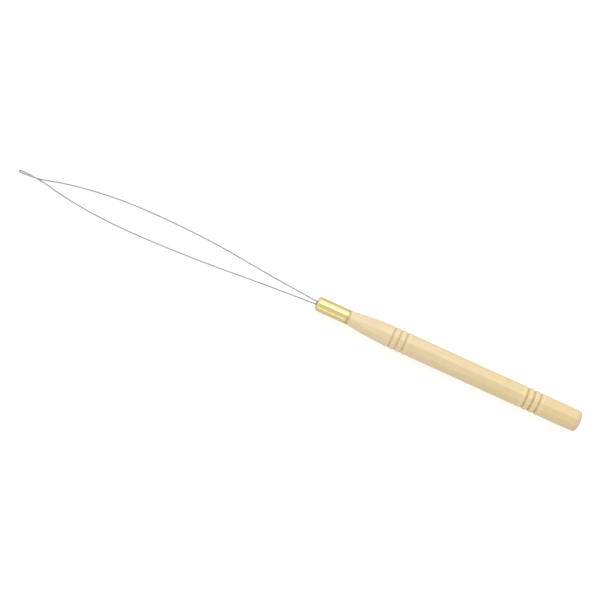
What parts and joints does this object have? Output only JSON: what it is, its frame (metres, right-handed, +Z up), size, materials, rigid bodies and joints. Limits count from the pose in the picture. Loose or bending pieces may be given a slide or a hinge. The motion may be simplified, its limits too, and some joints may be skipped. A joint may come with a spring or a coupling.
{
  "type": "wire loop threader",
  "caption": "Turned wooden handle with a brass ferrule and a long bowed loop of thin spring-steel wire, for drawing thread or yarn through beads and stitches.",
  "frame": {"origin": "centre of the bounding box in X and Y, on the surface that the tool lies on (bottom of the handle)", "axes": "+X along the tool from the loop's tip towards the butt of the handle, +Z up; the loop lies flat, at the height of the handle's axis"},
  "size_m": [0.27, 0.0123, 0.01],
  "materials": {
    "lacquered_wood": "pale birch, turned, clear satin lacquer",
    "brass": "drawn and polished, bright",
    "spring_steel": "bright drawn wire",
    "cured_adhesive": "clear amber epoxy, glossy"
  },
  "bodies": {
    "root": {"handle": "lacquered_wood", "ferrule": "brass", "wire_loop": "spring_steel", "adhesive_plug": "cured_adhesive"}
  },
  "joints": []
}
